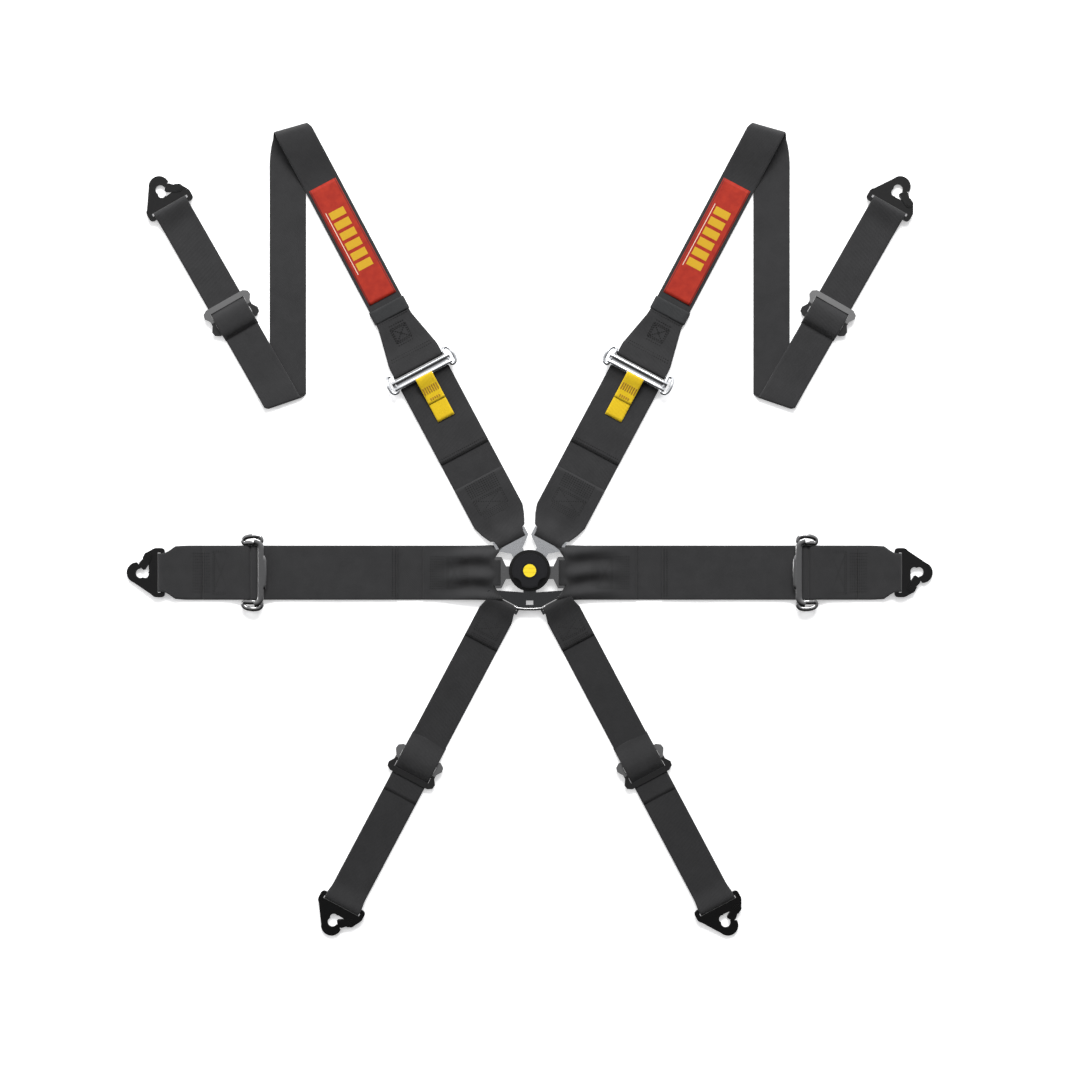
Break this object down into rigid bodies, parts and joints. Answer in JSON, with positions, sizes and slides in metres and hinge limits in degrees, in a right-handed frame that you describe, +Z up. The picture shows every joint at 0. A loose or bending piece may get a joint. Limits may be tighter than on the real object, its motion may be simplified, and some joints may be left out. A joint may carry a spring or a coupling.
{
  "type": "racing harness",
  "caption": "Racing harness of wide black webbing with a turn-to-release buckle, chrome tilt-lock adjusters, three-bar sliders and sprung snap hooks.",
  "frame": {"origin": "on the release knob's axis at the buckle's back face", "axes": "+Z up out of the buckle's knob, +Y towards the shoulder straps' folds, +X to the right of a person who looks down at the knob"},
  "size_m": [1.1276, 1.1294, 0.0299],
  "materials": {
    "webbing": "woven polyester",
    "crotch_webbing": "woven polyester",
    "elastic": "knitted elastic",
    "patch_cloth": "embroidered",
    "tab_webbing": "woven nylon",
    "bright_chrome": "polished",
    "dark_plating": "black chrome",
    "black_paint": "gloss black",
    "steel": "zinc plated",
    "knob_metal": "black anodised, satin",
    "cap_plastic": "gloss",
    "emblem": "gloss"
  },
  "bodies": {
    "buckle": {"buckle_base": "black_paint", "buckle_housing": "black_paint", "housing_screws": "steel", "centre_post": "steel", "knob_return_spring": "steel", "latch_springs": "steel", "left_lap_tongue": "bright_chrome"},
    "knob": {"release_knob": "knob_metal", "knob_cap": "cap_plastic", "knob_emblem": "emblem", "cam_rotor": "steel"},
    "latch": {"latch_plate": "steel", "latch_pins": "steel"},
    "left_shoulder_tongue": {"left_shoulder_tongue": "bright_chrome"},
    "left_shoulder_lower_strap": {"left_shoulder_lower_strap": "webbing"},
    "left_shoulder_lock_bar": {"left_shoulder_lock_bar": "steel"},
    "left_shoulder_adjuster": {"left_shoulder_adjuster_frame": "bright_chrome"},
    "left_shoulder_pull_tab": {"left_shoulder_pull_tab": "tab_webbing"},
    "left_shoulder_upper_strap": {"left_shoulder_upper_strap": "webbing", "left_shoulder_flare": "webbing", "left_shoulder_patch": "patch_cloth"},
    "left_shoulder_keeper_band": {"left_shoulder_keeper_band": "elastic"},
    "left_shoulder_slider": {"left_shoulder_slider": "dark_plating"},
    "left_shoulder_hook": {"left_shoulder_hook": "black_paint"},
    "left_shoulder_gate": {"left_shoulder_gate": "black_paint"},
    "left_lap_belt": {"left_lap_belt": "webbing"},
    "left_lap_lock_bar": {"left_lap_lock_bar": "steel"},
    "left_lap_adjuster": {"left_lap_adjuster_frame": "dark_plating"},
    "left_lap_hook_strap": {"left_lap_hook_strap": "webbing"},
    "left_lap_hook": {"left_lap_hook": "black_paint"},
    "left_lap_gate": {"left_lap_gate": "black_paint"},
    "right_shoulder_tongue": {"right_shoulder_tongue": "bright_chrome"},
    "right_shoulder_lower_strap": {"right_shoulder_lower_strap": "webbing"},
    "right_shoulder_lock_bar": {"right_shoulder_lock_bar": "steel"},
    "right_shoulder_adjuster": {"right_shoulder_adjuster_frame": "bright_chrome"},
    "right_shoulder_pull_tab": {"right_shoulder_pull_tab": "tab_webbing"},
    "right_shoulder_upper_strap": {"right_shoulder_upper_strap": "webbing", "right_shoulder_flare": "webbing", "right_shoulder_patch": "patch_cloth"},
    "right_shoulder_keeper_band": {"right_shoulder_keeper_band": "elastic"},
    "right_shoulder_slider": {"right_shoulder_slider": "dark_plating"},
    "right_shoulder_hook": {"right_shoulder_hook": "black_paint"},
    "right_shoulder_gate": {"right_shoulder_gate": "black_paint"},
    "right_lap_belt": {"right_lap_belt": "webbing"},
    "right_lap_lock_bar": {"right_lap_lock_bar": "steel"},
    "right_lap_adjuster": {"right_lap_adjuster_frame": "dark_plating"},
    "right_lap_hook_strap": {"right_lap_hook_strap": "webbing"},
    "right_lap_tongue": {"right_lap_tongue": "bright_chrome"},
    "right_lap_hook": {"right_lap_hook": "black_paint"},
    "right_lap_gate": {"right_lap_gate": "black_paint"},
    "crotch_plate": {"crotch_plate": "dark_plating"},
    "left_crotch_strap": {"left_crotch_strap": "crotch_webbing"},
    "left_crotch_slider": {"left_crotch_slider": "dark_plating"},
    "left_crotch_hook": {"left_crotch_hook": "black_paint"},
    "left_crotch_gate": {"left_crotch_gate": "black_paint"},
    "right_crotch_strap": {"right_crotch_strap": "crotch_webbing"},
    "right_crotch_slider": {"right_crotch_slider": "dark_plating"},
    "right_crotch_hook": {"right_crotch_hook": "black_paint"},
    "right_crotch_gate": {"right_crotch_gate": "black_paint"}
  },
  "joints": [
    {"name": "knob_turn", "type": "hinge", "parent": "buckle", "child": "knob", "pos_m": [0, 0, 0.02], "axis": [0, 0, 1], "range_deg": [-45, 45], "stiffness_Nm_per_rad": 0.4},
    {"name": "latch_drop", "type": "slide", "parent": "buckle", "child": "latch", "axis": [0, 0, 1], "range_m": [-0.0026, 0]},
    {"name": "left_shoulder_release", "type": "slide", "parent": "buckle", "child": "left_shoulder_tongue", "axis": [-0.4695, 0.8829, 0], "range_m": [0, 0.045]},
    {"name": "left_shoulder_strap_lift", "type": "hinge", "parent": "left_shoulder_tongue", "child": "left_shoulder_lower_strap", "pos_m": [-0.0288, 0.048, 0.007], "axis": [0.8829, 0.4695, 0], "range_deg": [-10, 60]},
    {"name": "left_shoulder_adjuster_tilt", "type": "hinge", "parent": "left_shoulder_lower_strap", "child": "left_shoulder_lock_bar", "pos_m": [-0.14992, 0.2758, 0.0045], "axis": [-0.8829, -0.4695, 0], "range_deg": [0, 30]},
    {"name": "left_shoulder_lock_bar_slide", "type": "slide", "parent": "left_shoulder_lock_bar", "child": "left_shoulder_adjuster", "axis": [-0.4695, 0.8829, 0], "range_m": [0, 0.0025]},
    {"name": "left_pull_tab_swing", "type": "hinge", "parent": "left_shoulder_adjuster", "child": "left_shoulder_pull_tab", "pos_m": [-0.14711, 0.2705, 0.01135], "axis": [-0.8829, -0.4695, 0], "range_deg": [0, 110]},
    {"name": "left_upper_strap_lift", "type": "hinge", "parent": "left_shoulder_adjuster", "child": "left_shoulder_upper_strap", "pos_m": [-0.1565, 0.28816, 0.0045], "axis": [0.8829, 0.4695, 0], "range_deg": [-20, 60]},
    {"name": "left_keeper_slide", "type": "slide", "parent": "left_shoulder_upper_strap", "child": "left_shoulder_keeper_band", "axis": [-0.4695, 0.8829, 0], "range_m": [0, 0.06]},
    {"name": "left_shoulder_slider_slide", "type": "slide", "parent": "left_shoulder_upper_strap", "child": "left_shoulder_slider", "axis": [-0.4955, 0.8686, 0], "range_m": [-0.02, 0.08]},
    {"name": "left_shoulder_hook_swivel", "type": "hinge", "parent": "left_shoulder_upper_strap", "child": "left_shoulder_hook", "pos_m": [-0.5005, 0.5057, 0.0052], "axis": [0.8686, 0.4955, 0], "range_deg": [-60, 75]},
    {"name": "left_shoulder_gate_open", "type": "hinge", "parent": "left_shoulder_hook", "child": "left_shoulder_gate", "pos_m": [-0.49101, 0.53489, 0.00382], "axis": [-0.0331, 0.058, 0.9978], "range_deg": [0, 26], "stiffness_Nm_per_rad": 0.05},
    {"name": "left_lap_belt_lift", "type": "hinge", "parent": "buckle", "child": "left_lap_belt", "pos_m": [-0.05, -0.003, 0.007], "axis": [0, 1, 0], "range_deg": [-10, 60]},
    {"name": "left_lap_adjuster_tilt", "type": "hinge", "parent": "left_lap_belt", "child": "left_lap_lock_bar", "pos_m": [-0.383, -0.003, 0.0045], "axis": [0, -1, 0], "range_deg": [0, 30]},
    {"name": "left_lap_lock_bar_slide", "type": "slide", "parent": "left_lap_lock_bar", "child": "left_lap_adjuster", "axis": [-1, 0, 0], "range_m": [0, 0.0025]},
    {"name": "left_lap_hook_strap_lift", "type": "hinge", "parent": "left_lap_adjuster", "child": "left_lap_hook_strap", "pos_m": [-0.397, -0.003, 0.0045], "axis": [0, 1, 0], "range_deg": [-20, 60]},
    {"name": "left_lap_hook_swivel", "type": "hinge", "parent": "left_lap_hook_strap", "child": "left_lap_hook", "pos_m": [-0.513, -0.003, 0.0052], "axis": [0, 1, 0], "range_deg": [-60, 75]},
    {"name": "left_lap_gate_open", "type": "hinge", "parent": "left_lap_hook", "child": "left_lap_gate", "pos_m": [-0.53365, 0.0197, 0.00382], "axis": [-0.0668, 0, 0.9978], "range_deg": [0, 26], "stiffness_Nm_per_rad": 0.05},
    {"name": "right_shoulder_release", "type": "slide", "parent": "buckle", "child": "right_shoulder_tongue", "axis": [0.4695, 0.8829, 0], "range_m": [0, 0.045]},
    {"name": "right_shoulder_strap_lift", "type": "hinge", "parent": "right_shoulder_tongue", "child": "right_shoulder_lower_strap", "pos_m": [0.0288, 0.048, 0.007], "axis": [0.8829, -0.4695, 0], "range_deg": [-10, 60]},
    {"name": "right_shoulder_adjuster_tilt", "type": "hinge", "parent": "right_shoulder_lower_strap", "child": "right_shoulder_lock_bar", "pos_m": [0.14992, 0.2758, 0.0045], "axis": [-0.8829, 0.4695, 0], "range_deg": [0, 30]},
    {"name": "right_shoulder_lock_bar_slide", "type": "slide", "parent": "right_shoulder_lock_bar", "child": "right_shoulder_adjuster", "axis": [0.4695, 0.8829, 0], "range_m": [0, 0.0025]},
    {"name": "right_pull_tab_swing", "type": "hinge", "parent": "right_shoulder_adjuster", "child": "right_shoulder_pull_tab", "pos_m": [0.14711, 0.2705, 0.01135], "axis": [-0.8829, 0.4695, 0], "range_deg": [0, 110]},
    {"name": "right_upper_strap_lift", "type": "hinge", "parent": "right_shoulder_adjuster", "child": "right_shoulder_upper_strap", "pos_m": [0.1565, 0.28816, 0.0045], "axis": [0.8829, -0.4695, 0], "range_deg": [-20, 60]},
    {"name": "right_keeper_slide", "type": "slide", "parent": "right_shoulder_upper_strap", "child": "right_shoulder_keeper_band", "axis": [0.4695, 0.8829, 0], "range_m": [0, 0.06]},
    {"name": "right_shoulder_slider_slide", "type": "slide", "parent": "right_shoulder_upper_strap", "child": "right_shoulder_slider", "axis": [0.4955, 0.8686, 0], "range_m": [-0.02, 0.08]},
    {"name": "right_shoulder_hook_swivel", "type": "hinge", "parent": "right_shoulder_upper_strap", "child": "right_shoulder_hook", "pos_m": [0.5005, 0.5057, 0.0052], "axis": [0.8686, -0.4955, 0], "range_deg": [-60, 75]},
    {"name": "right_shoulder_gate_open", "type": "hinge", "parent": "right_shoulder_hook", "child": "right_shoulder_gate", "pos_m": [0.53045, 0.51239, 0.00382], "axis": [0.0331, 0.058, 0.9978], "range_deg": [0, 26], "stiffness_Nm_per_rad": 0.05},
    {"name": "right_lap_release", "type": "slide", "parent": "buckle", "child": "right_lap_tongue", "axis": [1, 0, 0], "range_m": [0, 0.045]},
    {"name": "right_lap_belt_lift", "type": "hinge", "parent": "right_lap_tongue", "child": "right_lap_belt", "pos_m": [0.05, -0.003, 0.007], "axis": [0, -1, 0], "range_deg": [-10, 60]},
    {"name": "right_lap_adjuster_tilt", "type": "hinge", "parent": "right_lap_belt", "child": "right_lap_lock_bar", "pos_m": [0.383, -0.003, 0.0045], "axis": [0, 1, 0], "range_deg": [0, 30]},
    {"name": "right_lap_lock_bar_slide", "type": "slide", "parent": "right_lap_lock_bar", "child": "right_lap_adjuster", "axis": [1, 0, 0], "range_m": [0, 0.0025]},
    {"name": "right_lap_hook_strap_lift", "type": "hinge", "parent": "right_lap_adjuster", "child": "right_lap_hook_strap", "pos_m": [0.397, -0.003, 0.0045], "axis": [0, -1, 0], "range_deg": [-20, 60]},
    {"name": "right_lap_hook_swivel", "type": "hinge", "parent": "right_lap_hook_strap", "child": "right_lap_hook", "pos_m": [0.513, -0.003, 0.0052], "axis": [0, -1, 0], "range_deg": [-60, 75]},
    {"name": "right_lap_gate_open", "type": "hinge", "parent": "right_lap_hook", "child": "right_lap_gate", "pos_m": [0.53365, -0.0257, 0.00382], "axis": [0.0668, 0, 0.9978], "range_deg": [0, 26], "stiffness_Nm_per_rad": 0.05},
    {"name": "crotch_release", "type": "slide", "parent": "buckle", "child": "crotch_plate", "axis": [0, -1, 0], "range_m": [0, 0.045]},
    {"name": "left_crotch_strap_lift", "type": "hinge", "parent": "crotch_plate", "child": "left_crotch_strap", "pos_m": [-0.04, -0.048, 0.007], "axis": [-0.8838, 0.4679, 0], "range_deg": [-10, 60]},
    {"name": "left_crotch_slider_slide", "type": "slide", "parent": "left_crotch_strap", "child": "left_crotch_slider", "axis": [-0.4679, -0.8838, 0], "range_m": [-0.02, 0.08]},
    {"name": "left_crotch_hook_swivel", "type": "hinge", "parent": "left_crotch_strap", "child": "left_crotch_hook", "pos_m": [-0.26039, -0.46425, 0.0052], "axis": [-0.8838, 0.4679, 0], "range_deg": [-60, 75]},
    {"name": "left_crotch_gate_open", "type": "hinge", "parent": "left_crotch_hook", "child": "left_crotch_gate", "pos_m": [-0.25, -0.49313, 0.00382], "axis": [0.0312, 0.059, -0.9978], "range_deg": [0, 26], "stiffness_Nm_per_rad": 0.05},
    {"name": "right_crotch_strap_lift", "type": "hinge", "parent": "crotch_plate", "child": "right_crotch_strap", "pos_m": [0.04, -0.048, 0.007], "axis": [-0.8838, -0.4679, 0], "range_deg": [-10, 60]},
    {"name": "right_crotch_slider_slide", "type": "slide", "parent": "right_crotch_strap", "child": "right_crotch_slider", "axis": [0.4679, -0.8838, 0], "range_m": [-0.02, 0.08]},
    {"name": "right_crotch_hook_swivel", "type": "hinge", "parent": "right_crotch_strap", "child": "right_crotch_hook", "pos_m": [0.26039, -0.46425, 0.0052], "axis": [-0.8838, -0.4679, 0], "range_deg": [-60, 75]},
    {"name": "right_crotch_gate_open", "type": "hinge", "parent": "right_crotch_hook", "child": "right_crotch_gate", "pos_m": [0.29012, -0.47188, 0.00382], "axis": [-0.0312, 0.059, -0.9978], "range_deg": [0, 26], "stiffness_Nm_per_rad": 0.05}
  ]
}
